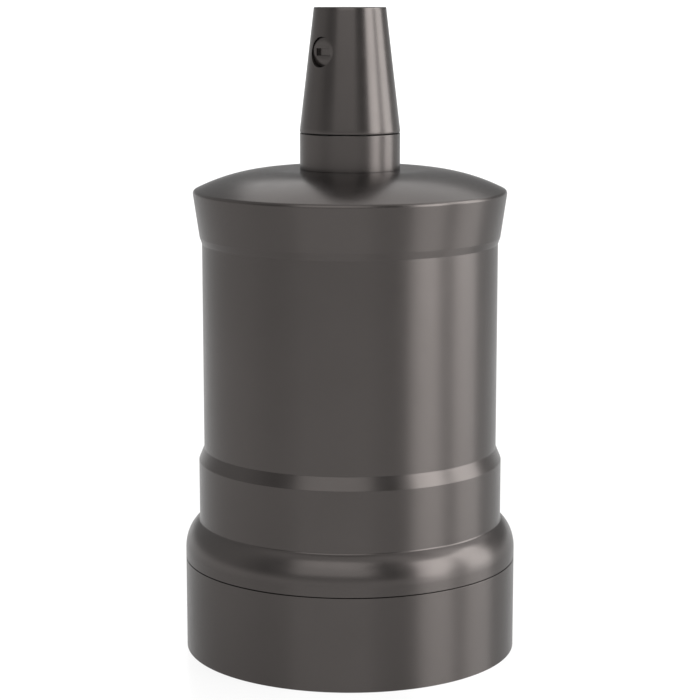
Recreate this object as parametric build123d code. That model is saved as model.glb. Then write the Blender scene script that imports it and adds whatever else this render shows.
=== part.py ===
from build123d import *
from math import acos, degrees, pi, sqrt
import os

# Hanging lamp holder for a 40 mm screw cap: a turned metal housing with a domed top, a nose
# ring screwed on its skirt, a porcelain insert with a rolled screw shell and a sprung centre
# contact, screw terminals, and a conical cord grip on a hollow M10 nipple.
# Millimetres, +Z up, z = 0 at the lower face of the nose ring, Z axis = axis of the lamp.

# Screw shell for the lamp cap
cap_radius = 19.8          # inner radius of the rolled thread at its widest
thread_depth = 1.8         # radial depth of the round thread
thread_pitch = 6.35
thread_turns = 3.25
thread_steps = 10          # level circles in each turn
shell_sheet = 0.5
shell_lead = 1.6           # smooth mouth before the first turn
shell_run_out = 2.4        # length over which the thread fades into the plain cup
shell_length = 44.0
shell_recess = 1.0         # mouth of the shell above the mouth of the insert
shell_floor_hole = 8.3
shell_seat_gap = 0.3       # room between the shell and the porcelain

# Porcelain insert
insert_wall = 3.7
insert_gap = 0.69          # room between the insert and the housing
flange_height = 5.0
flange_gap = 0.3           # room between the insert's flange and the skirt
insert_edge = 1.0
plunger_ledge = 3.0        # porcelain that stops the centre contact
sunk_head_depth = 4.0      # how deep the screw and rivet heads lie in the porcelain
barrier_thickness = 1.8    # ribs that part the two terminals from the bracket
barrier_height = 5.0
barrier_length = 15.0

# Housing
wall = 1.5
band_step = 0.94           # band radius over body radius
band_height = 11.3
step_height = 2.3          # bevel from the band to the body
shoulder_step = 2.57       # ring radius over band radius
shoulder_land = 1.62
shoulder_height = 5.2
shoulder_overlap = 0.86    # how far the shoulder's curve runs in behind the band
flare_step = 0.42          # small bevel at the foot of the flare
flare_step_height = 1.25
flare_height = 8.1
rim_step = 1.6             # rim radius over body radius
rim_rounding = 0.7
dome_rise = 3.8
seat_radius = 12.4         # flat top that the collar stands on
wiring_space = 26.76       # from the top of the insert to the underside of the dome
skirt_length = 6.4
skirt_wall = 1.6
cavity_step = 5.0          # skirt bore runs this far above the joint line

# Nose ring and its insulating liner
ring_height = 16.66
ring_wall = 1.95
joint_line = 0.15          # fine open line between two screwed pieces
thread_clearance = 0.05
lip_thickness = 1.9
lip_width = 2.55
liner_thickness = 3.1
liner_gap = 0.3
liner_mouth = 1.3          # liner's inner radius over the shell's outer radius
edge_break = 0.12

# Nipple, bracket and nuts
nipple_radius = 5.0
nipple_bore = 3.75         # the cord grip above it has the same bore
nipple_above = 9.2         # nipple inside the cord grip
nipple_below = 1.2         # nipple below the lock nut
bracket_sheet = 2.0
bracket_width = 16.0
bracket_bend = 2.5
bracket_leg = 12.0         # middle of each leg from the axis
bracket_edge = 0.5         # foot beyond its nut
washer_thickness = 0.8
washer_radius = 8.4
washer_teeth = 12
washer_tooth_depth = 1.5
lock_nut_flats = 14.0
lock_nut_height = 3.0

# Fasteners
screw_radius = 2.0
screw_head_radius = 3.5
screw_head_height = 2.4
screw_pitch = 0.7
slot_width = 1.0
slot_depth = 1.2
fixing_nut_flats = 7.0
fixing_nut_height = 3.2
rivet_radius = 1.5
rivet_head_radius = 2.6
rivet_head_height = 1.2
hole_clearance = 0.1
rivet_edge = 0.4           # rivet heads inside the wall of the shell

# Contacts and terminals
contact_radius = 5.5
contact_reach = 3.0        # contact face below the floor of the shell
contact_flange_radius = 7.3
contact_flange = 1.5
contact_travel = 2.5
contact_gap = 0.4
contact_rounding = 1.5
strip_thickness = 1.0
strip_width = 21.0
tongue_width = 10.0        # live strip over the centre contact
tongue_end = 0.6           # tongue beyond the spring
spring_sheet = 0.4
spring_flat = 2.0          # height of the bowed leaf with the contact pressed home
spring_width = 5.0
spring_length = 13.0
block_width = 9.0
block_depth = 9.0
block_height = 10.0
block_floor = 1.5
tunnel_width = 6.4
tunnel_height = 5.4
clamp_thickness = 1.2
clamp_length = 8.0
clamp_gap = 0.2
clamp_travel = 3.0
spigot_radius = 1.2
earth_washer_radius = 4.2
earth_washer_thickness = 1.2
earth_screw_length = 5.5
earth_height = 0.5         # share of the leg's height

# Collar, cord grip and its screw
collar_height = 6.4
grip_radius = 8.92
grip_land = 0.4
grip_top_radius = 6.39
grip_height = 21.9
grip_mouth_rounding = 0.8
grip_edge = 0.25
grub_radius = 2.55
grub_height = 14.2         # axis of the grub screw above the foot of the cord grip
grub_turn = 225.0          # degrees round the Z axis, to the front left
grub_recess = 0.7          # face of the grub screw below the cone, on the screw's axis
grub_gap = 0.1
grub_slot_length = 3.4
grub_slot_width = 1.25
grub_slot_depth = 0.6
pad_radius = 2.5
pad_thickness = 0.8
pad_recess = 0.15
pad_stud_radius = 1.0
pad_stud_length = 0.5

# Worked out from the sizes above: radii
shell_outer = cap_radius + shell_sheet
cup_radius = cap_radius - thread_depth / 2
cavity_radius = shell_outer + shell_seat_gap
insert_radius = cavity_radius + insert_wall
body_bore = insert_radius + insert_gap
body_radius = body_bore + wall
band_radius = body_radius + band_step
ring_radius = band_radius + shoulder_step
rim_radius = body_radius + rim_step
ring_bore = ring_radius - ring_wall
skirt_radius = ring_bore - thread_clearance
skirt_bore = skirt_radius - skirt_wall
flange_radius = skirt_bore - flange_gap
dome_reach = rim_radius - seat_radius
dome_radius = (dome_reach ** 2 + dome_rise ** 2) / (2 * dome_rise)

# Worked out from the sizes above: heights
insert_mouth = lip_thickness + liner_thickness
shell_mouth = insert_mouth + shell_recess
shell_floor = shell_mouth + shell_length
ledge_level = shell_floor + plunger_ledge
insert_top = ledge_level + contact_flange + spring_flat + contact_travel
strip_top = insert_top + strip_thickness
dome_under = insert_top + wiring_space
dome_top = dome_under + wall
shoulder_foot = ring_height + joint_line
shoulder_level = shoulder_foot + shoulder_land
rim_level = dome_top - dome_rise
web_under = dome_under - bracket_sheet
washer_under = web_under - washer_thickness
nut_under = washer_under - lock_nut_height
grip_foot = dome_top + collar_height + joint_line
grub_level = grip_foot + grub_height

# Worked out from the sizes above: places on the insert
bracket_hole = bracket_leg + bracket_bend + fixing_nut_flats / 2 + clamp_gap
bracket_foot = bracket_hole + fixing_nut_flats / 2 + bracket_edge
barrier_place = bracket_leg - (bracket_sheet + barrier_thickness) / 2 - hole_clearance
rivet_offset = block_width / 2 + rivet_head_radius + clamp_gap
rivet_circle = cup_radius - rivet_head_radius - rivet_edge
terminal_offset = sqrt(rivet_circle ** 2 - rivet_offset ** 2)


def turned(*points):
    """Solid of revolution about the Z axis from (radius, height) corners."""
    return revolve(Plane.XZ * make_face(Polyline(*points, close=True)), Axis.Z)


def rod(radius, bottom, top, x=0.0, y=0.0):
    """Upright cylinder between two heights."""
    lowest = (Align.CENTER, Align.CENTER, Align.MIN)
    return Pos(x, y, bottom) * Cylinder(radius, top - bottom, align=lowest)


def tube(outer, inner, bottom, top):
    """Upright tube between two heights."""
    return rod(outer, bottom, top) - rod(inner, bottom, top)


def slab(width, depth, bottom, top, x=0.0, y=0.0):
    """Upright box between two heights."""
    lowest = (Align.CENTER, Align.CENTER, Align.MIN)
    return Pos(x, y, bottom) * Box(width, depth, top - bottom, align=lowest)


def hexagon(flats, bottom, top):
    """Upright hexagonal bar between two heights."""
    outline = RegularPolygon(flats / 2, 6, major_radius=False)
    return Pos(0, 0, bottom) * extrude(outline, top - bottom)


def slotted_head(bottom):
    """Round screw head with a driver slot."""
    top = bottom + screw_head_height
    head = rod(screw_head_radius, bottom, top)
    head = chamfer(head.edges().group_by(Axis.Z)[-1], edge_break * 2)
    return head - slab(2 * screw_head_radius, slot_width, top - slot_depth, top)


def rivet(bottom, top):
    """Rivet with a head below `bottom` and a head above `top`."""
    shank = rod(rivet_radius, bottom, top)
    lower = rod(rivet_head_radius, bottom - rivet_head_height, bottom)
    upper = rod(rivet_head_radius, top, top + rivet_head_height)
    lower = chamfer(lower.edges().group_by(Axis.Z)[0], rivet_head_height / 2)
    upper = chamfer(upper.edges().group_by(Axis.Z)[-1], rivet_head_height / 2)
    return shank + lower + upper


def housing():
    """One turned shell: threaded skirt, shoulder, band, body, flared rim and dome."""
    curve_radius = shoulder_step + shoulder_overlap
    curve_centre = ring_radius - curve_radius
    curve_end = degrees(acos((band_radius - curve_centre) / curve_radius))
    shoulder = EllipticalCenterArc(
        (curve_centre, shoulder_level), curve_radius, shoulder_height, start_angle=0, arc_size=curve_end
    )
    band_top = (shoulder @ 1).Y + band_height
    step_top = band_top + step_height
    flare_top = rim_level
    flare_foot = flare_top - flare_height
    body_top = flare_foot - flare_step_height
    dome_centre = dome_top - dome_radius
    dome_middle = rim_radius - dome_reach / 2
    dome_middle_level = dome_centre + sqrt(dome_radius ** 2 - (dome_reach / 2) ** 2)
    sides = Polyline(
        (band_radius, (shoulder @ 1).Y),
        (band_radius, band_top),
        (body_radius, step_top),
        (body_radius, body_top),
        (body_radius + flare_step, flare_foot),
        (rim_radius, flare_top),
    )
    dome = ThreePointArc((rim_radius, rim_level), (dome_middle, dome_middle_level), (seat_radius, dome_top))
    foot = Polyline(
        (seat_radius, dome_top),
        (0, dome_top),
        (0, shoulder_foot - skirt_length),
        (skirt_radius, shoulder_foot - skirt_length),
        (skirt_radius, shoulder_foot),
        (ring_radius - edge_break, shoulder_foot),
        (ring_radius, shoulder_foot + edge_break),
        (ring_radius, shoulder_level),
    )
    outline = make_face([shoulder, sides, dome, foot])
    rim = outline.vertices().sort_by_distance((rim_radius, rim_level))[0]
    outline = fillet(rim, rim_rounding)

    inner_rim = rim_radius - wall
    inner_radius = dome_radius - wall
    inner_rim_level = dome_centre + sqrt(inner_radius ** 2 - (inner_rim - seat_radius) ** 2)
    inner_middle = (inner_rim + seat_radius) / 2
    inner_middle_level = dome_centre + sqrt(inner_radius ** 2 - (inner_middle - seat_radius) ** 2)
    inner_dome = ThreePointArc(
        (inner_rim, inner_rim_level), (inner_middle, inner_middle_level), (seat_radius, dome_under)
    )
    inner_sides = Polyline(
        (seat_radius, dome_under),
        (0, dome_under),
        (0, shoulder_foot - skirt_length),
        (skirt_bore, shoulder_foot - skirt_length),
        (skirt_bore, shoulder_foot + cavity_step),
        (band_radius - wall, shoulder_foot + cavity_step),
        (band_radius - wall, band_top),
        (body_bore, step_top),
        (body_bore, body_top),
        (inner_rim, inner_rim_level),
    )
    cavity = make_face([inner_sides, inner_dome])
    shell = revolve(Plane.XZ * outline, Axis.Z) - revolve(Plane.XZ * cavity, Axis.Z)
    return shell - rod(nipple_radius + hole_clearance, dome_under, dome_top)


def nose_ring():
    """Ring screwed on the skirt, with a lip that carries the liner."""
    return turned(
        (ring_bore - lip_width, 0),
        (ring_radius - edge_break, 0),
        (ring_radius, edge_break),
        (ring_radius, ring_height - edge_break),
        (ring_radius - edge_break, ring_height),
        (ring_bore, ring_height),
        (ring_bore, lip_thickness),
        (ring_bore - lip_width, lip_thickness),
    )


def ring_liner():
    """Insulating ring that lies on the lip and closes the space round the insert."""
    liner = tube(ring_bore - liner_gap, shell_outer + liner_mouth, lip_thickness, insert_mouth)
    mouth = liner.edges().group_by(Axis.Z)[0].sort_by(SortBy.RADIUS)[0]
    return chamfer(mouth, liner_thickness / 3)


def screw_shell():
    """Rolled sheet cup with a round thread, drilled for the contact and two rivets.

    A level cut through a round thread is a circle off the axis, and its centre goes once round
    the axis each pitch. So the wall is lofted through level circles on a small helix, from the
    wide mouth to the plain cup.
    """
    thread_foot = shell_mouth + shell_lead
    helix = Pos(0, 0, thread_foot) * Helix(
        pitch=thread_pitch, height=thread_pitch * thread_turns, radius=thread_depth / 2
    )
    steps = round(thread_turns * thread_steps)
    centres = [helix @ (index / steps) for index in range(steps + 1)]
    cup_foot = Vector(0, 0, centres[-1].Z + shell_run_out)
    cup_top = Vector(0, 0, shell_floor)

    def wall_outline(extra):
        """Solid inside the shell's wall, or inside its outer face with the sheet as extra."""
        mouth = Pos(0, 0, shell_mouth) * Circle(cap_radius + extra)
        turns = [Pos(centre) * Circle(cup_radius + extra) for centre in centres]
        cup = [Pos(centre) * Circle(cup_radius + extra) for centre in (cup_foot, cup_top)]
        return loft([mouth] + turns + cup, ruled=True)

    shell = wall_outline(shell_sheet) - wall_outline(0)
    shell += tube(cup_radius + shell_sheet, shell_floor_hole, shell_floor - shell_sheet, shell_floor)
    for side in (-1, 1):
        shell -= rod(
            rivet_radius + hole_clearance,
            shell_floor - shell_sheet,
            shell_floor,
            side * rivet_offset,
            -terminal_offset,
        )
    return shell


def insert():
    """Porcelain body round the shell, with a drilled floor and ribs on top."""
    body = turned(
        (cavity_radius, insert_mouth),
        (flange_radius, insert_mouth),
        (flange_radius, insert_mouth + flange_height),
        (insert_radius, insert_mouth + flange_height),
        (insert_radius, insert_top - insert_edge),
        (insert_radius - insert_edge, insert_top),
        (0, insert_top),
        (0, shell_floor),
        (cavity_radius, shell_floor),
    )
    for side in (-1, 1):
        barrier_top = insert_top + barrier_height
        body += slab(barrier_thickness, barrier_length, insert_top, barrier_top, side * barrier_place)
    body -= rod(contact_radius + contact_gap, shell_floor, ledge_level)
    body -= rod(contact_flange_radius + contact_gap, ledge_level, insert_top)
    for side in (-1, 1):
        hole = screw_radius + hole_clearance
        body -= rod(hole, shell_floor, insert_top, side * bracket_hole, 0)
        body -= rod(
            screw_head_radius + contact_gap, shell_floor, shell_floor + sunk_head_depth + screw_head_height,
            side * bracket_hole, 0,
        )
        for end in (-1, 1):
            hole = rivet_radius + hole_clearance
            body -= rod(hole, shell_floor, insert_top, side * rivet_offset, end * terminal_offset)
        body -= rod(
            rivet_head_radius + contact_gap, shell_floor, shell_floor + sunk_head_depth + rivet_head_height,
            side * rivet_offset, terminal_offset,
        )
    return body


def centre_contact():
    """Sprung plunger that meets the centre of the lamp cap."""
    face = shell_floor - shell_sheet - contact_reach
    stem = rod(contact_radius, face, ledge_level)
    stem = fillet(stem.edges().group_by(Axis.Z)[0], contact_rounding)
    return stem + rod(contact_flange_radius, ledge_level, ledge_level + contact_flange)


def contact_spring():
    """Bowed leaf between the plunger and the live strip."""
    bottom = ledge_level + contact_flange
    half = spring_length / 2
    outer = ThreePointArc((-half, insert_top), (0, bottom), (half, insert_top))
    inner = ThreePointArc((-half, insert_top), (0, bottom + spring_sheet), (half, insert_top))
    tip = spring_sheet
    leaf = make_face([outer, inner]) - Pos(half, insert_top) * Rectangle(2 * tip, 2 * tip)
    leaf -= Pos(-half, insert_top) * Rectangle(2 * tip, 2 * tip)
    return extrude(Plane.YZ * leaf, spring_width / 2, both=True)


def contact_strip(side, over_contact):
    """Brass strip under a terminal; the live one reaches over the centre contact."""
    strip = slab(strip_width, block_depth, insert_top, strip_top, 0, side * terminal_offset)
    if over_contact:
        reach = terminal_offset + spring_length / 2 + tongue_end
        middle = (terminal_offset - spring_length / 2 - tongue_end) / 2
        strip += slab(tongue_width, reach, insert_top, strip_top, 0, side * middle)
    for end in (-1, 1):
        hole = rivet_radius + hole_clearance
        strip -= rod(hole, insert_top, strip_top, end * rivet_offset, side * terminal_offset)
    return strip


def terminal_block(side):
    """Brass block with a wire tunnel and a threaded top."""
    top = strip_top + block_height
    tunnel = strip_top + block_floor
    block = slab(block_width, block_depth, strip_top, top)
    block = chamfer(block.edges().filter_by(Axis.Z), edge_break * 4)
    block -= slab(tunnel_width, block_depth, tunnel, tunnel + tunnel_height)
    block -= rod(screw_radius + thread_clearance, tunnel + tunnel_height, top)
    return Pos(0, side * terminal_offset, 0) * block


def clamp_plate(side):
    """Pressure plate that the terminal screw carries on its spigot."""
    top = strip_top + block_floor + tunnel_height
    width = tunnel_width - 2 * clamp_gap
    plate = slab(width, clamp_length, top - clamp_thickness, top)
    plate -= rod(spigot_radius + thread_clearance, top - clamp_thickness, top)
    return Pos(0, side * terminal_offset, 0) * plate


def terminal_screw(side):
    """Slotted screw with a spigot that turns in the clamp plate."""
    tip = strip_top + block_floor + tunnel_height
    head = strip_top + block_height + clamp_travel + clamp_gap
    screw = rod(spigot_radius, tip - clamp_thickness, tip) + rod(screw_radius, tip, head)
    return Pos(0, side * terminal_offset, 0) * (screw + slotted_head(head))


def rivets(side, sunk):
    """Pair of rivets beside a terminal, with sunk lower heads on the live side."""
    foot = shell_floor + sunk_head_depth + rivet_head_height if sunk else shell_floor - shell_sheet
    single = rivet(foot, strip_top)
    return Compound([Pos(end * rivet_offset, side * terminal_offset, 0) * single for end in (-1, 1)])


def fixing_screws():
    """Two screws that rise through the porcelain into the bracket."""
    seat = shell_floor + sunk_head_depth + screw_head_height
    top = insert_top + bracket_sheet + fixing_nut_height + screw_pitch
    head = Rot(180, 0, 0) * slotted_head(-seat)
    single = head + rod(screw_radius, seat, top)
    return Compound([Pos(side * bracket_hole, 0, 0) * single for side in (-1, 1)])


def fixing_nuts():
    """Two nuts on the feet of the bracket."""
    bottom = insert_top + bracket_sheet
    nut = hexagon(fixing_nut_flats, bottom, bottom + fixing_nut_height)
    nut -= rod(screw_radius + thread_clearance, bottom, bottom + fixing_nut_height)
    return Compound([Pos(side * bracket_hole, 0, 0) * Rot(0, 0, 30) * nut for side in (-1, 1)])


def mounting_bracket():
    """Bent strip that hangs the insert under the dome."""
    half_sheet = bracket_sheet / 2
    foot_level = insert_top + half_sheet
    web_level = dome_under - half_sheet
    right = [(bracket_leg, web_level), (bracket_leg, foot_level), (bracket_foot, foot_level)]
    left = [(-x, z) for x, z in reversed(right)]
    middle = FilletPolyline(*left, *right, radius=bracket_bend)
    section = trace(middle, bracket_sheet)
    bracket = extrude(Plane.XZ * section, bracket_width / 2, both=True)
    bracket -= rod(nipple_radius + hole_clearance, web_under, dome_under)
    for side in (-1, 1):
        hole = screw_radius + hole_clearance
        bracket -= rod(hole, insert_top, insert_top + bracket_sheet, side * bracket_hole, 0)
    return bracket - along_earth(rod(screw_radius + thread_clearance, -bracket_sheet, 0))


def along_earth(piece):
    """Turn a piece made on the Z axis to the earth screw, z = 0 at the leg's outer face."""
    level = insert_top + earth_height * wiring_space
    return Pos(bracket_leg + bracket_sheet / 2, 0, level) * Rot(0, 90, 0) * piece


def earth_washer():
    """Cupped washer that holds the earth wire on the bracket."""
    washer = tube(earth_washer_radius, screw_radius + thread_clearance, 0, earth_washer_thickness)
    rim = tube(earth_washer_radius, earth_washer_radius - bracket_sheet / 2, 0, earth_washer_thickness / 2)
    cup = rod(earth_washer_radius, 0, earth_washer_thickness / 2) - rim
    return along_earth(washer - cup)


def earth_screw():
    """Slotted screw in the leg of the bracket."""
    shank = rod(screw_radius, earth_washer_thickness - earth_screw_length, earth_washer_thickness)
    return along_earth(shank + slotted_head(earth_washer_thickness))


def nipple():
    """Hollow threaded tube that joins bracket, housing, collar and cord grip."""
    bottom = nut_under - nipple_below
    top = grip_foot + nipple_above
    pipe = tube(nipple_radius, nipple_bore, bottom, top)
    ends = pipe.edges().filter_by(GeomType.CIRCLE).group_by(SortBy.RADIUS)[-1]
    return chamfer(ends, edge_break * 4)


def lock_nut():
    """Hexagonal nut that clamps bracket and dome on the nipple."""
    nut = hexagon(lock_nut_flats, nut_under, washer_under)
    return nut - rod(nipple_radius + thread_clearance, nut_under, washer_under)


def toothed_washer():
    """Washer with teeth round its edge, under the lock nut."""
    washer = tube(washer_radius, nipple_radius + hole_clearance, washer_under, web_under)
    tooth_gap = pi * washer_radius / washer_teeth
    notch = slab(2 * washer_tooth_depth, tooth_gap, washer_under, web_under, washer_radius, 0)
    for index in range(washer_teeth):
        washer -= Rot(0, 0, index * 360 / washer_teeth) * notch
    return washer


def collar():
    """Plain threaded collar that clamps the dome."""
    top = dome_top + collar_height
    return turned(
        (nipple_radius + thread_clearance, dome_top),
        (grip_radius - edge_break, dome_top),
        (grip_radius, dome_top + edge_break),
        (grip_radius, top - edge_break),
        (grip_radius - edge_break, top),
        (nipple_radius + thread_clearance, top),
    )


def along_grub(piece):
    """Turn a piece made on the Z axis to the grub screw, z = distance from the lamp's axis."""
    return Pos(0, 0, grub_level) * Rot(0, 0, grub_turn) * Rot(0, 90, 0) * piece


def grub_face():
    """Distance of the grub screw's outer face from the lamp's axis."""
    slope = (grip_radius - grip_top_radius) / (grip_height - grip_land)
    return grip_radius - slope * (grub_height - grip_land) - grub_recess


def cord_grip():
    """Cone on the nipple, bored for the cord, with a threaded hole for the grub screw."""
    top = grip_foot + grip_height
    thread_end = grip_foot + nipple_above + joint_line
    cone = turned(
        (nipple_bore, thread_end),
        (nipple_radius + thread_clearance, thread_end),
        (nipple_radius + thread_clearance, grip_foot),
        (grip_radius - edge_break, grip_foot),
        (grip_radius, grip_foot + edge_break),
        (grip_radius, grip_foot + grip_land),
        (grip_top_radius, top),
        (nipple_bore, top),
    )
    mouth = cone.edges().group_by(Axis.Z)[-1].sort_by(SortBy.RADIUS)
    cone = fillet(mouth[0], grip_mouth_rounding)
    cone = fillet(cone.edges().group_by(Axis.Z)[-1].sort_by(SortBy.RADIUS)[-1], grip_edge)
    return cone - along_grub(rod(grub_radius + grub_gap, 0, grip_radius))


def grub_screw():
    """Short screw with a closed slot, sunk a little in the cone."""
    inner = nipple_bore + pad_recess + pad_thickness
    outer = grub_face()
    screw = rod(grub_radius, inner, outer)
    screw = chamfer(screw.edges().group_by(Axis.Z)[-1], edge_break)
    screw -= slab(grub_slot_width, grub_slot_length, outer - grub_slot_depth, outer)
    screw -= rod(pad_stud_radius + thread_clearance, inner, inner + pad_stud_length)
    return along_grub(screw)


def cord_pad():
    """Nylon pad with a stud that snaps in the tip of the grub screw."""
    inner = nipple_bore + pad_recess
    pad = rod(pad_radius, inner, inner + pad_thickness)
    pad = chamfer(pad.edges().group_by(Axis.Z)[0], pad_thickness / 4)
    stud_end = inner + pad_thickness + pad_stud_length - thread_clearance
    stud = rod(pad_stud_radius, inner + pad_thickness, stud_end)
    return along_grub(pad + stud)


pieces = {
    "housing": housing(),
    "nose_ring": nose_ring(),
    "ring_liner": ring_liner(),
    "insert": insert(),
    "screw_shell": screw_shell(),
    "centre_contact": centre_contact(),
    "contact_spring": contact_spring(),
    "live_strip": contact_strip(1, True),
    "neutral_strip": contact_strip(-1, False),
    "live_rivets": rivets(1, True),
    "neutral_rivets": rivets(-1, False),
    "mounting_bracket": mounting_bracket(),
    "fixing_screws": fixing_screws(),
    "fixing_nuts": fixing_nuts(),
    "earth_washer": earth_washer(),
    "earth_screw": earth_screw(),
    "nipple": nipple(),
    "lock_nut": lock_nut(),
    "toothed_washer": toothed_washer(),
    "collar": collar(),
    "cord_grip": cord_grip(),
    "grub_screw": grub_screw(),
    "cord_pad": cord_pad(),
}
for name, side in (("live", 1), ("neutral", -1)):
    pieces[name + "_terminal"] = terminal_block(side)
    pieces[name + "_clamp"] = clamp_plate(side)
    pieces[name + "_screw"] = terminal_screw(side)

os.makedirs("parts", exist_ok=True)
for name, shape in pieces.items():
    export_step(shape, "parts/" + name + ".step")
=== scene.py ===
import math

import bpy
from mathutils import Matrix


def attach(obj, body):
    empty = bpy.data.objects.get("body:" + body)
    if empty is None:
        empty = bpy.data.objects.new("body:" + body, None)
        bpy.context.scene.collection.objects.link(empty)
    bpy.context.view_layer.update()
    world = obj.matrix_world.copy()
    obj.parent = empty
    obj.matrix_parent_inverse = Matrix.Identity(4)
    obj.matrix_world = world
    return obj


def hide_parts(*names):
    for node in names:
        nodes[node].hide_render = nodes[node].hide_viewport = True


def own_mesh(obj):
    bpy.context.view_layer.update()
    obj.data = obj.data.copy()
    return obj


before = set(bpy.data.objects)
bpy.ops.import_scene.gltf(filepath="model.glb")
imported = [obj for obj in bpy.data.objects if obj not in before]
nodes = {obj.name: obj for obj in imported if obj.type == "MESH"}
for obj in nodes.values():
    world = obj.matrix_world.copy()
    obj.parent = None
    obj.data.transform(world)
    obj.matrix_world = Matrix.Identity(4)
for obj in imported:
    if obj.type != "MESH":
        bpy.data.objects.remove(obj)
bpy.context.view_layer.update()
mm = 0.001

# Porcelain insert: one pressed and fired body with a clear glaze, which holds every live
# piece. It hangs from the bracket's two screws and is the only white thing inside.
def new_material(name, colour, metallic, roughness):
    """Material with one shader; returns it with its node tree and that shader."""
    material = bpy.data.materials.new(name)
    material.use_nodes = True
    tree = material.node_tree
    shader = tree.nodes["Principled BSDF"]
    shader.inputs["Base Color"].default_value = (*colour, 1)
    shader.inputs["Metallic"].default_value = metallic
    shader.inputs["Roughness"].default_value = roughness
    return material, tree, shader


def grain(tree, scale, detail=3.0, stretch=(1, 1, 1)):
    """Noise in the object's own space; a stretch above 1 makes it finer that way."""
    place = tree.nodes.new("ShaderNodeTexCoord")
    mapping = tree.nodes.new("ShaderNodeMapping")
    mapping.inputs["Scale"].default_value = stretch
    noise = tree.nodes.new("ShaderNodeTexNoise")
    noise.inputs["Scale"].default_value = scale
    noise.inputs["Detail"].default_value = detail
    tree.links.new(place.outputs["Object"], mapping.inputs["Vector"])
    tree.links.new(mapping.outputs["Vector"], noise.inputs["Vector"])
    return noise.outputs["Fac"]


def tint(tree, shader, source, dark, light):
    """Lead a noise to the base colour between two shades."""
    ramp = tree.nodes.new("ShaderNodeValToRGB")
    ramp.color_ramp.elements[0].position = 0.3
    ramp.color_ramp.elements[0].color = (*dark, 1)
    ramp.color_ramp.elements[1].position = 0.7
    ramp.color_ramp.elements[1].color = (*light, 1)
    tree.links.new(source, ramp.inputs["Fac"])
    tree.links.new(ramp.outputs["Color"], shader.inputs["Base Color"])


def relief(tree, shader, source, depth):
    """Lead a noise to the surface as bumps of a real depth in metres."""
    bump = tree.nodes.new("ShaderNodeBump")
    bump.inputs["Strength"].default_value = 1.0
    bump.inputs["Distance"].default_value = depth
    tree.links.new(source, bump.inputs["Height"])
    tree.links.new(bump.outputs["Normal"], shader.inputs["Normal"])


def finish_nodes(material, *names):
    """Give CAD nodes their material; their meshes stay as they are."""
    for name in names:
        nodes[name].data.materials.clear()
        nodes[name].data.materials.append(material)


porcelain, tree, shader = new_material("glazed_porcelain", (0.83, 0.81, 0.76), 0.0, 0.22)
shader.inputs["Coat Weight"].default_value = 0.6
shader.inputs["Coat Roughness"].default_value = 0.06
shader.inputs["Subsurface Weight"].default_value = 0.12
shader.inputs["Subsurface Scale"].default_value = 0.002
tint(tree, shader, grain(tree, 110, 2), (0.815, 0.793, 0.742), (0.84, 0.822, 0.775))
relief(tree, shader, grain(tree, 1400), 0.000008)
finish_nodes(porcelain, "insert")

# Screw shell: brass sheet drawn to a cup, with the round thread of the lamp cap rolled in it.
# Two rivets hold its floor to the porcelain.
SHELL_MOUTH = 6.0
MOUTH_BAND = 0.5
SHELL_BORE = 19.8
SHELL_SHEET = 0.5
THREAD_PITCH = 6.35
THREAD_DEPTH = 1.8
THREAD_FOOT = 7.6
THREAD_TOP = THREAD_FOOT + 3.25 * THREAD_PITCH
CUP_RADIUS = 18.9
CUP_FOOT = THREAD_TOP + 2.4
SHELL_FLOOR = 50.0
FLOOR_HOLE = 8.3
SHARP_CORNER = math.radians(48)


def raise_ring(name, levels, segments=192):
    """Draw a ring up through its levels, as a lathe tool follows a profile.

    A level is (radius, height) in millimetres, or (radius, height, x, y) with its centre off
    the axis. The last level equals the first, so the wall closes on itself, or both end at
    the axis.
    """
    bpy.ops.object.select_all(action="DESELECT")
    radius, height, x, y = (*levels[0], 0, 0)[:4]
    bpy.ops.mesh.primitive_circle_add(
        vertices=segments, radius=radius * mm, location=(x * mm, y * mm, height * mm)
    )
    piece = bpy.context.object
    piece.name = name
    piece.data.name = name
    bpy.ops.object.mode_set(mode="EDIT")
    bpy.ops.mesh.select_all(action="SELECT")
    for level in levels[1:]:
        new_radius, new_height, new_x, new_y = (*level, 0, 0)[:4]
        step = ((new_x - x) * mm, (new_y - y) * mm, (new_height - height) * mm)
        bpy.ops.mesh.extrude_region_move(TRANSFORM_OT_translate={"value": step})
        if new_radius != radius:
            share = new_radius / radius
            centre = (new_x * mm, new_y * mm, new_height * mm)
            bpy.ops.transform.resize(value=(share, share, 1), center_override=centre)
        radius, height, x, y = new_radius, new_height, new_x, new_y
    bpy.ops.mesh.select_all(action="SELECT")
    bpy.ops.mesh.remove_doubles(threshold=0.000001)
    bpy.ops.mesh.normals_make_consistent(inside=False)
    bpy.ops.object.mode_set(mode="OBJECT")
    bpy.ops.object.transform_apply(location=True, rotation=True, scale=True)
    return piece


def thread_levels(radius, depth, pitch, bottom, top, steps, fade=0.5):
    """Levels of a right-hand round thread: the ring's centre goes round once each pitch.

    A pitch has that many steps, and the thread fades in and out over that share of a pitch.
    """
    count = round((top - bottom) / pitch * steps)
    levels = []
    for index in range(count + 1):
        height = bottom + (top - bottom) * index / count
        ends = min(index, count - index) / (fade * steps)
        swing = depth / 2 * min(1, ends)
        turn = 2 * math.pi * (height - bottom) / pitch
        levels.append((radius - depth / 2, height, swing * math.cos(turn), swing * math.sin(turn)))
    return levels


def shell_wall(extra):
    """Levels of the threaded wall, moved out by extra."""
    wall = thread_levels(SHELL_BORE, THREAD_DEPTH, THREAD_PITCH, THREAD_FOOT, THREAD_TOP, 24, 0.6)
    return [(radius + extra, height, x, y) for radius, height, x, y in wall]


def cup_corner(radius, level, rounding, bulge):
    """Levels of the rounded corner between the cup's wall and its floor."""
    return [
        (radius, level - rounding),
        (radius - bulge, level - bulge),
        (radius - rounding, level),
    ]


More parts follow.
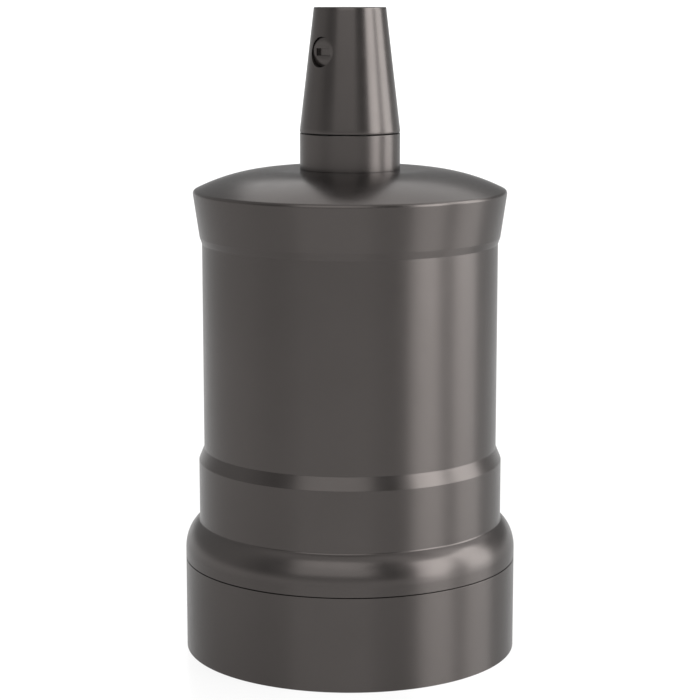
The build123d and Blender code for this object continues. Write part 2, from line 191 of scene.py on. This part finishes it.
def apply_modifier(piece, kind, **settings):
    """Add one modifier to a piece and make it final."""
    bpy.context.view_layer.objects.active = piece
    modifier = piece.modifiers.new(kind.lower(), kind)
    for name, value in settings.items():
        setattr(modifier, name, value)
    bpy.ops.object.modifier_apply(modifier=modifier.name)


def round_edges(piece, width, segments=2, angle=15):
    """Round off every edge sharper than an angle in degrees by a width in millimetres."""
    apply_modifier(
        piece, "BEVEL", width=width * mm, segments=segments,
        limit_method="ANGLE", angle_limit=math.radians(angle), use_clamp_overlap=True,
    )


def pick(piece):
    """Select one piece alone."""
    bpy.ops.object.select_all(action="DESELECT")
    piece.select_set(True)
    bpy.context.view_layer.objects.active = piece


def smooth(piece):
    """Shade a piece smooth, apart from its sharp corners."""
    pick(piece)
    bpy.ops.object.shade_smooth_by_angle(angle=SHARP_CORNER)
    apply_modifier(piece, "WEIGHTED_NORMAL", keep_sharp=True)


def dress(piece, material, body, slot, *replaced):
    """Give a piece its material and its body, and hide the nodes it stands for. The slot is not
    used.
    """
    piece.data.materials.clear()
    piece.data.materials.append(material)
    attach(piece, body)
    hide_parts(*replaced)


def vary(tree, source, low, high, target):
    """Lead a noise to a shader value between low and high."""
    spread = tree.nodes.new("ShaderNodeMapRange")
    spread.inputs["From Min"].default_value = 0.3
    spread.inputs["From Max"].default_value = 0.7
    spread.inputs["To Min"].default_value = low
    spread.inputs["To Max"].default_value = high
    tree.links.new(source, spread.inputs["Value"])
    tree.links.new(spread.outputs["Result"], target)


brass, tree, shader = new_material("rolled_brass", (0.74, 0.56, 0.27), 1.0, 0.26)
streaks = grain(tree, 60, 4, (1, 1, 40))
vary(tree, streaks, 0.2, 0.34, shader.inputs["Roughness"])
tint(tree, shader, grain(tree, 90, 5), (0.66, 0.475, 0.2), (0.80, 0.62, 0.31))
relief(tree, shader, streaks, 0.000004)

shell = raise_ring(
    "screw_shell_rolled",
    [(SHELL_BORE, SHELL_MOUTH), (SHELL_BORE + SHELL_SHEET, SHELL_MOUTH)]
    + [(SHELL_BORE + SHELL_SHEET, SHELL_MOUTH + MOUTH_BAND)]
    + shell_wall(SHELL_SHEET)
    + [(CUP_RADIUS + SHELL_SHEET, CUP_FOOT)]
    + cup_corner(CUP_RADIUS + SHELL_SHEET, SHELL_FLOOR, 1.2, 0.35)
    + [(FLOOR_HOLE, SHELL_FLOOR), (FLOOR_HOLE, SHELL_FLOOR - SHELL_SHEET)]
    + cup_corner(CUP_RADIUS, SHELL_FLOOR - SHELL_SHEET, 0.9, 0.25)[::-1]
    + [(CUP_RADIUS, CUP_FOOT)]
    + shell_wall(0)[::-1]
    + [(SHELL_BORE, SHELL_MOUTH + MOUTH_BAND), (SHELL_BORE, SHELL_MOUTH)],
)
round_edges(shell, 0.1)
smooth(shell)
dress(shell, brass, "holder", "brass", "screw_shell")

# Centre contact: turned brass plunger with a rounded nose, sprung against the lamp cap. A
# groove runs round it, and its flange rests on a ledge in the porcelain.
CONTACT_FACE = 46.5
FACE_RADIUS = 2.4
NOSE_RADIUS = 5.5
NOSE_ROUND = [(4.0, CONTACT_FACE), (4.57, 46.61), (5.06, 46.94), (5.39, 47.43), (5.5, 48.0)]
GROOVE_RADIUS = 5.2
GROOVE_FOOT = 51.75
GROOVE_TOP = 52.35
GROOVE_BEVEL = 0.15
LEDGE = 53.0
FLANGE_RADIUS = 7.3
FLANGE_TOP = LEDGE + 1.5
POLE = 0.0004

machined, tree, shader = new_material("turned_brass", (0.76, 0.58, 0.28), 1.0, 0.2)
tool_marks = tree.nodes.new("ShaderNodeTexWave")
tool_marks.wave_type = "RINGS"
tool_marks.rings_direction = "Z"
tool_marks.inputs["Scale"].default_value = 1500
tool_marks.inputs["Distortion"].default_value = 0.4
place = tree.nodes.new("ShaderNodeTexCoord")
tree.links.new(place.outputs["Object"], tool_marks.inputs["Vector"])
relief(tree, shader, tool_marks.outputs["Fac"], 0.000003)
tint(tree, shader, grain(tree, 300, 4), (0.69, 0.5, 0.22), (0.8, 0.62, 0.32))

contact = raise_ring(
    "centre_contact_turned",
    [(POLE, CONTACT_FACE), (FACE_RADIUS, CONTACT_FACE)]
    + NOSE_ROUND
    + [(NOSE_RADIUS, GROOVE_FOOT - GROOVE_BEVEL), (GROOVE_RADIUS, GROOVE_FOOT)]
    + [(GROOVE_RADIUS, GROOVE_TOP), (NOSE_RADIUS, GROOVE_TOP + GROOVE_BEVEL)]
    + [(NOSE_RADIUS, LEDGE), (FLANGE_RADIUS, LEDGE), (FLANGE_RADIUS, FLANGE_TOP)]
    + [(POLE, FLANGE_TOP)],
    96,
)
round_edges(contact, 0.12)
smooth(contact)
dress(contact, machined, "contact", "brass", "centre_contact")

# Contact spring: bowed leaf of bronze strip between the plunger and the live strip. It
# flattens against the strip as the lamp cap presses the plunger in.
SPRING_SEAT = 59.0
SPRING_PLAY = 0.15
SPRING_WIDTH = 5.0
SPRING_SHEET = 0.4
SPRING_REACH = 6.2
SPRING_BOW = 4.15
SPRING_STEPS = 24
bronze, tree, shader = new_material("spring_bronze", (0.66, 0.43, 0.26), 1.0, 0.24)
tint(tree, shader, grain(tree, 200, 4, (8, 1, 1)), (0.58, 0.36, 0.2), (0.7, 0.48, 0.3))
vary(tree, grain(tree, 900, 2, (20, 1, 1)), 0.2, 0.32, shader.inputs["Roughness"])

leaf_radius = (SPRING_REACH ** 2 + SPRING_BOW ** 2) / (2 * SPRING_BOW)
leaf_turn = 2 * math.asin(SPRING_REACH / leaf_radius)
leaf_bottom = SPRING_SEAT - SPRING_PLAY - SPRING_BOW
leaf_axis = (0, 0, (leaf_bottom + leaf_radius) * mm)
bpy.ops.object.select_all(action="DESELECT")
bpy.ops.mesh.primitive_plane_add(
    size=1, location=(0, 0, leaf_bottom * mm), rotation=(math.pi / 2, 0, 0)
)
leaf = bpy.context.object
leaf.name = "contact_spring_leaf"
leaf.scale = (SPRING_WIDTH * mm, SPRING_SHEET * mm, 1)
bpy.ops.object.transform_apply(location=True, rotation=True, scale=True)
bpy.ops.object.mode_set(mode="EDIT")
bpy.ops.mesh.select_all(action="SELECT")
bpy.ops.transform.rotate(value=-leaf_turn / 2, orient_axis="X", center_override=leaf_axis)
for _ in range(SPRING_STEPS):
    bpy.ops.mesh.extrude_region_move(TRANSFORM_OT_translate={"value": (0, 0, 0)})
    bpy.ops.transform.rotate(
        value=leaf_turn / SPRING_STEPS, orient_axis="X", center_override=leaf_axis
    )
bpy.ops.mesh.select_all(action="SELECT")
bpy.ops.mesh.normals_make_consistent(inside=False)
bpy.ops.object.mode_set(mode="OBJECT")
round_edges(leaf, 0.08)
smooth(leaf)
dress(leaf, bronze, "holder", "spring_bronze", "contact_spring")
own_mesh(leaf)

# Strips, rivets and terminal blocks: brass. The strips are punched from sheet and riveted on
# the porcelain's top, and each carries a block sawn from bar, with a tunnel for its wire.
finish_nodes(brass, "live_strip", "neutral_strip", "live_rivets", "neutral_rivets")
finish_nodes(machined, "live_terminal", "neutral_terminal")

# Bracket, screws, nuts, washers and nipple: steel with a pale zinc plating. The bent bracket
# hangs the insert under the dome, and the nipple and its lock nut hold it there.
zinc, tree, shader = new_material("zinc_plate", (0.6, 0.61, 0.6), 1.0, 0.3)
tint(tree, shader, grain(tree, 150, 5), (0.52, 0.54, 0.55), (0.66, 0.66, 0.63))
vary(tree, grain(tree, 700, 3), 0.24, 0.38, shader.inputs["Roughness"])
relief(tree, shader, grain(tree, 2500), 0.000004)
finish_nodes(
    zinc, "live_clamp", "neutral_clamp", "live_screw", "neutral_screw", "mounting_bracket",
    "fixing_screws", "fixing_nuts", "earth_washer", "earth_screw", "nipple", "lock_nut",
    "toothed_washer",
)

# Housing: one turned shell of aluminium with a dark warm metallic coat, from the threaded
# skirt at its foot to the domed top that the collar clamps.
SKIRT_FOOT = 10.41
SKIRT_EDGE = 27.4
SKIRT_CHAMFER = 0.3
SKIRT_RADIUS = 28.0
SKIRT_BORE = 26.4
RING_PITCH = 1.5
RING_THREAD_DEPTH = 0.6
THREAD_RUN_IN = 0.7
THREAD_RUN_OUT = 0.9
NECK_RADIUS = 27.35
NECK_HEIGHT = 0.6
SHOULDER_FOOT = 16.81
SHOULDER_TOP = 18.43
BORE_STEP = SHOULDER_FOOT + 5
RING_RADIUS = 30.0
CURVE_CENTRE = 25.6
CURVE_RADIUS = 4.4
CURVE_HEIGHT = 5.83
SHOULDER_LEAN = math.radians(55)
FILLET = 0.4
BAND_RADIUS = 27.43
BAND_TOP = 34.76
STEP_TOP = BAND_TOP + 2.3
BODY_RADIUS = 26.49
BODY_BORE = 24.99
BODY_TOP = 74.11
FLARE_FOOT = 75.36
FLARE_RADIUS = 26.91
RIM_RADIUS = 28.09
RIM_LEVEL = 83.46
RIM_ROUNDING = 0.7
SEAT_RADIUS = 12.4
DOME_TOP = 87.26
DOME_RISE = 3.8
DOME_RADIUS = ((RIM_RADIUS - SEAT_RADIUS) ** 2 + DOME_RISE ** 2) / (2 * DOME_RISE)
DOME_CENTRE = DOME_TOP - DOME_RADIUS
COLLAR_SEAT = 9.6
NIPPLE_HOLE = 5.1
WALL = 1.5


def arc(centre_r, centre_z, radius, start, end, steps, height=None):
    """Levels along an arc between two angles in degrees, measured from level outwards.

    A height makes the arc taller than it is wide.
    """
    levels = []
    for index in range(steps + 1):
        angle = math.radians(start + (end - start) * index / steps)
        rise = (height or radius) * math.sin(angle)
        levels.append((centre_r + radius * math.cos(angle), centre_z + rise))
    return levels


def dome_levels(radius, start_r, end_r, steps):
    """Levels of the dome from one distance off the axis to another."""
    levels = []
    for index in range(steps + 1):
        r = start_r + (end_r - start_r) * index / steps
        levels.append((r, DOME_CENTRE + math.sqrt(radius ** 2 - (r - SEAT_RADIUS) ** 2)))
    return levels


def rim_fillet():
    """Levels of the round between the flare and the dome.

    Its centre lies under the dome by its radius. Halving the span between the seat and the
    rim finds where it lies inside the flare by its radius too.
    """
    flare_angle = math.atan2(RIM_LEVEL - FLARE_FOOT, RIM_RADIUS - FLARE_RADIUS)
    normal = flare_angle - math.pi / 2
    low, high = SEAT_RADIUS, RIM_RADIUS
    for _ in range(60):
        r = (low + high) / 2
        z = DOME_CENTRE + math.sqrt((DOME_RADIUS - RIM_ROUNDING) ** 2 - (r - SEAT_RADIUS) ** 2)
        gap = (RIM_RADIUS - r) * math.cos(normal) + (RIM_LEVEL - z) * math.sin(normal)
        if gap > RIM_ROUNDING:
            low = r
        else:
            high = r
    dome_angle = math.atan2(z - DOME_CENTRE, r - SEAT_RADIUS)
    return arc(r, z, RIM_ROUNDING, math.degrees(normal), math.degrees(dome_angle), 12)


def shoulder_levels():
    """Levels of the shoulder's curve and of the fillet at its top, which ends at the band."""
    lean = math.degrees(SHOULDER_LEAN)
    curve_end = math.degrees(math.atan(math.tan(SHOULDER_LEAN) * CURVE_HEIGHT / CURVE_RADIUS))
    curve = arc(CURVE_CENTRE, SHOULDER_TOP, CURVE_RADIUS, 0, curve_end, 20, CURVE_HEIGHT)
    end_radius, end_level = curve[-1]
    fillet_reach = BAND_RADIUS + FILLET * (1 - math.cos(SHOULDER_LEAN))
    fillet_level = end_level + (end_radius - fillet_reach) / math.tan(SHOULDER_LEAN)
    fillet_level += FILLET * math.sin(SHOULDER_LEAN)
    return curve + arc(BAND_RADIUS + FILLET, fillet_level, FILLET, 180 + lean, 180, 9)


coat, tree, shader = new_material("pearl_black_coat", (0.080, 0.0721, 0.0687), 0.88, 0.25)
shader.inputs["Specular Tint"].default_value = (0.82, 0.82, 0.82, 1)
vary(tree, grain(tree, 420, 3), 0.235, 0.265, shader.inputs["Roughness"])
tint(tree, shader, grain(tree, 70, 3), (0.078, 0.0703, 0.0669), (0.082, 0.0739, 0.0705))
relief(tree, shader, grain(tree, 5200, 2), 0.0000012)

skirt_thread = thread_levels(
    SKIRT_RADIUS, RING_THREAD_DEPTH, RING_PITCH,
    SKIRT_FOOT + THREAD_RUN_IN, SHOULDER_FOOT - THREAD_RUN_OUT, 12,
)
rim = rim_fillet()
outside = (
    [(SKIRT_EDGE, SKIRT_FOOT), (SKIRT_EDGE + SKIRT_CHAMFER, SKIRT_FOOT + SKIRT_CHAMFER)]
    + skirt_thread
    + [(NECK_RADIUS, SHOULDER_FOOT - NECK_HEIGHT), (NECK_RADIUS, SHOULDER_FOOT)]
    + [(RING_RADIUS, SHOULDER_FOOT)]
    + shoulder_levels()
    + [(BAND_RADIUS, BAND_TOP), (BODY_RADIUS, STEP_TOP)]
    + [(BODY_RADIUS, BODY_TOP), (FLARE_RADIUS, FLARE_FOOT)]
    + rim
    + dome_levels(DOME_RADIUS, rim[-1][0], SEAT_RADIUS, 20)[1:]
    + [(COLLAR_SEAT, DOME_TOP), (NIPPLE_HOLE, DOME_TOP)]
)
inside = (
    [(NIPPLE_HOLE, DOME_TOP - WALL), (COLLAR_SEAT, DOME_TOP - WALL)]
    + dome_levels(DOME_RADIUS - WALL, SEAT_RADIUS, RIM_RADIUS - WALL, 10)
    + [(BODY_BORE, BODY_TOP), (BODY_BORE, STEP_TOP), (BAND_RADIUS - WALL, BAND_TOP)]
    + [(BAND_RADIUS - WALL, BORE_STEP), (SKIRT_BORE, BORE_STEP), (SKIRT_BORE, SKIRT_FOOT)]
)
housing = raise_ring("housing_shell", outside + inside + outside[:1], 240)
round_edges(housing, 0.08, 2, 9)
smooth(housing)
dress(housing, coat, "holder", "pearl_black", "housing")

# Collar: plain threaded ring of aluminium, turned and coated like the housing. It is screwed
# down the nipple and clamps the dome.
COLLAR_TOP = DOME_TOP + 6.4
GRIP_RADIUS = 8.92
FOOT_BREAK = 0.04
EDGE_ROUND = 0.13
collar = raise_ring(
    "collar_ring",
    [(NIPPLE_HOLE, DOME_TOP), (GRIP_RADIUS - FOOT_BREAK, DOME_TOP)]
    + [(GRIP_RADIUS, DOME_TOP + FOOT_BREAK)]
    + arc(GRIP_RADIUS - EDGE_ROUND, COLLAR_TOP - EDGE_ROUND, EDGE_ROUND, 0, 90, 4)
    + [(NIPPLE_HOLE, COLLAR_TOP), (NIPPLE_HOLE, DOME_TOP)],
    144,
)
smooth(collar)
dress(collar, coat, "holder", "pearl_black", "collar")

# Cord grip: turned and coated cone, screwed on the nipple's end. It is bored for the cord and
# drilled from the side for its grub screw.
GRIP_FOOT = COLLAR_TOP + 0.15
GRIP_LAND = 0.4
GRIP_TOP = GRIP_FOOT + 21.9
GRIP_TOP_RADIUS = 6.39
CORD_BORE = 3.75
MOUTH_ROUND = 0.8
GRIP_THREAD_BORE = 5.05
NIPPLE_END = GRIP_FOOT + 9.35
GRUB_LEVEL = GRIP_FOOT + 14.2
GRUB_TURN = math.radians(225)
SIDE_HOLE = 2.65
DRILL_MIDDLE = 7.0
DRILL_LENGTH = 10.0


def cone_levels(rows):
    """Levels of the cone's outer face from its land to its top edge."""
    levels = []
    for index in range(rows + 1):
        share = index / rows
        radius = GRIP_RADIUS + (GRIP_TOP_RADIUS - GRIP_RADIUS) * share
        levels.append((radius, GRIP_FOOT + GRIP_LAND + (GRIP_TOP - GRIP_FOOT - GRIP_LAND) * share))
    return levels


def cut(piece, tool):
    """Cut a piece with a tool, which is then put away."""
    apply_modifier(piece, "BOOLEAN", object=tool, operation="DIFFERENCE", solver="EXACT")
    bpy.data.objects.remove(tool)


grip = raise_ring(
    "cord_grip_cone",
    [(GRIP_RADIUS, GRIP_FOOT)]
    + cone_levels(40)
    + arc(CORD_BORE + MOUTH_ROUND, GRIP_TOP - MOUTH_ROUND, MOUTH_ROUND, 90, 180, 6)
    + [(CORD_BORE, NIPPLE_END), (GRIP_THREAD_BORE, NIPPLE_END)]
    + [(GRIP_THREAD_BORE, GRIP_FOOT), (GRIP_RADIUS, GRIP_FOOT)],
    192,
)
round_edges(grip, EDGE_ROUND)
drill_place = (
    DRILL_MIDDLE * mm * math.cos(GRUB_TURN),
    DRILL_MIDDLE * mm * math.sin(GRUB_TURN),
    GRUB_LEVEL * mm,
)
bpy.ops.object.select_all(action="DESELECT")
bpy.ops.mesh.primitive_cylinder_add(
    vertices=96, radius=SIDE_HOLE * mm, depth=DRILL_LENGTH * mm,
    location=drill_place, rotation=(0, math.pi / 2, GRUB_TURN),
)
cut(grip, bpy.context.object)
smooth(grip)
dress(grip, coat, "holder", "pearl_black", "cord_grip")

# Grub screw: short turned screw with a closed slot milled in its face, coated like the cone.
# It sits below the cone's face and holds the cord. It is made upright, then laid in its hole.
GRUB_RADIUS = 2.55
GRUB_PITCH = 0.8
GRUB_THREAD_DEPTH = 0.3
GRUB_TIP = 4.7
GRUB_TIP_RADIUS = 2.3
TIP_BAND = 0.15
GRUB_FACE = 6.596
GRUB_HEAD = 0.3
HEAD_GROOVE = 0.05
STUD_HOLE = 1.05
STUD_DEPTH = 0.5
SLOT_LENGTH = 3.4
SLOT_WIDTH = 1.25
SLOT_DEPTH = 0.6
grub_thread = thread_levels(
    GRUB_RADIUS, GRUB_THREAD_DEPTH, GRUB_PITCH,
    GRUB_TIP + TIP_BAND, GRUB_FACE - GRUB_HEAD - HEAD_GROOVE, 10, 0.4,
)
grub = raise_ring(
    "grub_screw_slotted",
    [(POLE, GRUB_TIP + STUD_DEPTH), (STUD_HOLE, GRUB_TIP + STUD_DEPTH)]
    + [(STUD_HOLE, GRUB_TIP), (GRUB_TIP_RADIUS, GRUB_TIP)]
    + grub_thread
    + [(GRUB_RADIUS, GRUB_FACE - GRUB_HEAD), (GRUB_RADIUS, GRUB_FACE), (POLE, GRUB_FACE)],
    96,
)
bpy.ops.object.select_all(action="DESELECT")
bpy.ops.mesh.primitive_cube_add(size=1, location=(0, 0, GRUB_FACE * mm))
cutter = bpy.context.object
cutter.scale = (SLOT_WIDTH * mm, SLOT_LENGTH * mm, 2 * SLOT_DEPTH * mm)
cut(grub, cutter)
round_edges(grub, 0.04, 2, 50)
grub.rotation_euler = (0, math.pi / 2, GRUB_TURN)
grub.location = (0, 0, GRUB_LEVEL * mm)
pick(grub)
bpy.ops.object.transform_apply(location=True, rotation=True, scale=True)
smooth(grub)
dress(grub, coat, "grub", "pearl_black", "grub_screw")

# Cord pad: button of natural nylon, turned from rod and snapped in the grub screw's tip. It
# presses on the cord and spares it.
nylon, tree, shader = new_material("natural_nylon", (0.78, 0.77, 0.7), 0.0, 0.42)
shader.inputs["Subsurface Weight"].default_value = 0.4
shader.inputs["Subsurface Scale"].default_value = 0.001
tint(tree, shader, grain(tree, 500, 3), (0.74, 0.73, 0.66), (0.82, 0.81, 0.75))
finish_nodes(nylon, "cord_pad")

# Ring liner: moulded insulating ring that lies loose on the nose ring's lip. It keeps the
# ring clear of the screw shell and the lamp cap.
LIP_TOP = 1.9
LINER_BORE = 21.6
LINER_RADIUS = 27.75
LINER_TOP = 5.0
LINER_CHAMFER = 1.0
moulding, tree, shader = new_material("black_moulding", (0.03, 0.029, 0.028), 0.0, 0.5)
vary(tree, grain(tree, 1500, 3), 0.44, 0.58, shader.inputs["Roughness"])
tint(tree, shader, grain(tree, 3000, 2), (0.026, 0.025, 0.024), (0.036, 0.035, 0.034))
relief(tree, shader, grain(tree, 3000, 2), 0.00001)
liner = raise_ring(
    "ring_liner_moulded",
    [(LINER_BORE, LIP_TOP + LINER_CHAMFER), (LINER_BORE + LINER_CHAMFER, LIP_TOP)]
    + [(LINER_RADIUS, LIP_TOP), (LINER_RADIUS, LINER_TOP), (LINER_BORE, LINER_TOP)]
    + [(LINER_BORE, LIP_TOP + LINER_CHAMFER)],
)
round_edges(liner, 0.3, 3)
smooth(liner)
dress(liner, moulding, "liner", "liner_black", "ring_liner")

# Nose ring: turned aluminium ring with an inner thread and a lip, coated like the housing. It
# is screwed on the skirt and carries the liner.
RING_TOP = 16.66
RING_BORE = 28.05
RING_MOUTH = 28.5
RING_THREAD_FOOT = 9.2
RELIEF_RADIUS = 28.35
RELIEF_FOOT = 8.2
RELIEF_TOP = 8.6
LIP_BORE = 25.5
ring_thread = [
    (radius + RING_THREAD_DEPTH, height, x, y)
    for radius, height, x, y in thread_levels(
        RING_BORE, RING_THREAD_DEPTH, RING_PITCH, RING_THREAD_FOOT, RING_TOP - 0.5, 12
    )
]
ring = raise_ring(
    "nose_ring_turned",
    [(LIP_BORE, 0), (RING_RADIUS, 0), (RING_RADIUS, RING_TOP), (RING_MOUTH, RING_TOP)]
    + ring_thread[::-1]
    + [(RELIEF_RADIUS, RELIEF_TOP), (RING_BORE, RELIEF_FOOT), (RING_BORE, LIP_TOP)]
    + [(LIP_BORE, LIP_TOP), (LIP_BORE, 0)],
    240,
)
round_edges(ring, 0.08)
smooth(ring)
dress(ring, coat, "ring", "pearl_black", "nose_ring")

# Studio: glossy white floor, a soft room, a broad box in front, two tall strips on the right,
# a box behind, and the camera a little above the holder. The floor shows white to the camera
# and a painted pool of grey light to the metal, with painted shade close to the holder and
# darker far from it, and keeps the shadow.
WHITE_TO_EYE = 0.86
AIM_LEVEL = 0.058
CAMERA_PITCH = 9.78
floor_paint, tree, shader = new_material("floor_paint", (0.9, 0.9, 0.9), 0.0, 0.12)
shader.inputs["IOR"].default_value = 2.2
shader.inputs["Emission Color"].default_value = (1, 1, 1, 1)


def calculate(tree, operation, first, second):
    """Math node of two values, each a socket or a number; returns its result."""
    step = tree.nodes.new("ShaderNodeMath")
    step.operation = operation
    for socket, value in zip(step.inputs, (first, second)):
        if isinstance(value, (int, float)):
            socket.default_value = value
        else:
            tree.links.new(value, socket)
    return step.outputs[0]


def grey_ramp(tree, source, stops):
    """Colour ramp of greys; a stop is (position, level)."""
    ramp = tree.nodes.new("ShaderNodeValToRGB")
    elements = ramp.color_ramp.elements
    elements[0].position = stops[0][0]
    elements[0].color = (stops[0][1],) * 3 + (1,)
    elements[1].position = stops[-1][0]
    elements[1].color = (stops[-1][1],) * 3 + (1,)
    for position, level in stops[1:-1]:
        element = elements.new(position)
        element.color = (level, level, level, 1)
    tree.links.new(source, ramp.inputs["Fac"])
    return ramp.outputs["Color"]


# Painted pool of light on the floor, seen only by the metal: painted shade close to the holder,
# painted falloff far from it.
place = tree.nodes.new("ShaderNodeTexCoord")
reach = tree.nodes.new("ShaderNodeVectorMath")
reach.operation = "LENGTH"
tree.links.new(place.outputs["Object"], reach.inputs[0])
painted_light_pool = grey_ramp(
    tree, reach.outputs["Value"], [(0.06, 0.56), (0.15, 0.65), (0.3, 0.65), (0.6, 0.46)]
)
seen = tree.nodes.new("ShaderNodeLightPath").outputs
by_metal = calculate(tree, "MAXIMUM", seen["Is Glossy Ray"], seen["Is Transmission Ray"])
by_any = calculate(tree, "MAXIMUM", seen["Is Camera Ray"], by_metal)
to_eye = calculate(tree, "MULTIPLY", seen["Is Camera Ray"], WHITE_TO_EYE)
to_metal = calculate(tree, "MULTIPLY", by_metal, painted_light_pool)
glow = calculate(tree, "MAXIMUM", to_eye, to_metal)
paint = tree.nodes.new("ShaderNodeMix")
paint.data_type = "RGBA"
paint.inputs["A"].default_value = (0.9, 0.9, 0.9, 1)
paint.inputs["B"].default_value = (1 - WHITE_TO_EYE,) * 3 + (1,)
tree.links.new(glow, shader.inputs["Emission Strength"])
tree.links.new(by_any, paint.inputs["Factor"])
tree.links.new(paint.outputs["Result"], shader.inputs["Base Color"])
bpy.ops.object.select_all(action="DESELECT")
bpy.ops.mesh.primitive_plane_add(size=40, location=(0, 0, -0.00002))
floor = bpy.context.object
floor.name = "studio_floor"
floor.data.materials.append(floor_paint)

world = bpy.data.worlds.new("studio_world")
bpy.context.scene.world = world
world.use_nodes = True
tree = world.node_tree
background = tree.nodes["Background"]
direction = tree.nodes.new("ShaderNodeTexCoord")
parts = tree.nodes.new("ShaderNodeSeparateXYZ")
lift = tree.nodes.new("ShaderNodeMapRange")
lift.inputs["From Min"].default_value = -1
lift.inputs["From Max"].default_value = 1
around = tree.nodes.new("ShaderNodeTexGradient")
around.gradient_type = "RADIAL"
room = tree.nodes.new("ShaderNodeMix")
room.data_type = "RGBA"
tree.links.new(direction.outputs["Generated"], parts.inputs["Vector"])
tree.links.new(direction.outputs["Generated"], around.inputs["Vector"])
tree.links.new(parts.outputs["Z"], lift.inputs["Value"])
height = lift.outputs["Result"]
walls = grey_ramp(
    tree, around.outputs["Fac"],
    [
        (0.0, 0.66), (0.04, 0.5), (0.08, 0.3), (0.12, 0.4), (0.15, 0.55), (0.3, 0.5),
        (0.33, 0.12), (0.365, 0.15), (0.4, 1.3), (0.46, 2.2), (0.53, 1.2), (0.6, 0.4),
        (0.68, 0.31), (0.76, 0.28), (0.83, 0.48), (0.92, 0.6), (1.0, 0.66),
    ],
)
above_and_below = grey_ramp(tree, height, [(0.0, 1.0), (0.5, 1.0), (0.9, 0.8), (1.0, 0.95)])
wall_share = grey_ramp(tree, height, [(0.5, 0.2), (0.56, 1.0), (0.88, 1.0), (0.965, 0.0)])
tree.links.new(wall_share, room.inputs["Factor"])
tree.links.new(above_and_below, room.inputs["A"])
tree.links.new(walls, room.inputs["B"])
tree.links.new(room.outputs["Result"], background.inputs["Color"])


def panel(name, azimuth, elevation, distance, width, tall, brightness, lean=0):
    """Soft box that faces the holder, turned in its own plane by lean.

    Angles are in degrees, azimuth from the camera to the right, and lengths in metres.
    """
    light = bpy.data.lights.new(name, "AREA")
    light.shape = "RECTANGLE"
    light.size = width
    light.size_y = tall
    light.energy = brightness * math.pi * width * tall
    lamp = bpy.data.objects.new(name, light)
    bpy.context.scene.collection.objects.link(lamp)
    turn = math.radians(azimuth)
    rise = math.radians(elevation)
    level_reach = distance * math.cos(rise)
    lamp_level = AIM_LEVEL + distance * math.sin(rise)
    lamp.location = (level_reach * math.sin(turn), -level_reach * math.cos(turn), lamp_level)
    lamp.rotation_euler = (math.pi / 2 - rise, math.radians(lean), turn)


panel("box_front_low", -12.5, 26, 1.5, 1.5, 0.66, 1.05)
panel("box_front_high", -15.5, 50, 1.5, 1.25, 0.64, 1.35)
panel("strip_front", 62.3, 19, 1.2, 0.54, 0.96, 4.2, 15)
panel("strip_side", 99.5, 18, 1.2, 0.56, 0.9, 4.3)
panel("box_back", 151, 49, 1.5, 2.3, 1.1, 1.4)

camera_data = bpy.data.cameras.new("camera")
camera_data.lens = 109.1
camera_data.sensor_width = 36
camera = bpy.data.objects.new("camera", camera_data)
bpy.context.scene.collection.objects.link(camera)
camera.location = (0, -0.3782, 0.11965)
camera.rotation_euler = (math.radians(90 - CAMERA_PITCH), 0, 0)
bpy.context.scene.camera = camera
bpy.context.scene.view_settings.view_transform = "Standard"
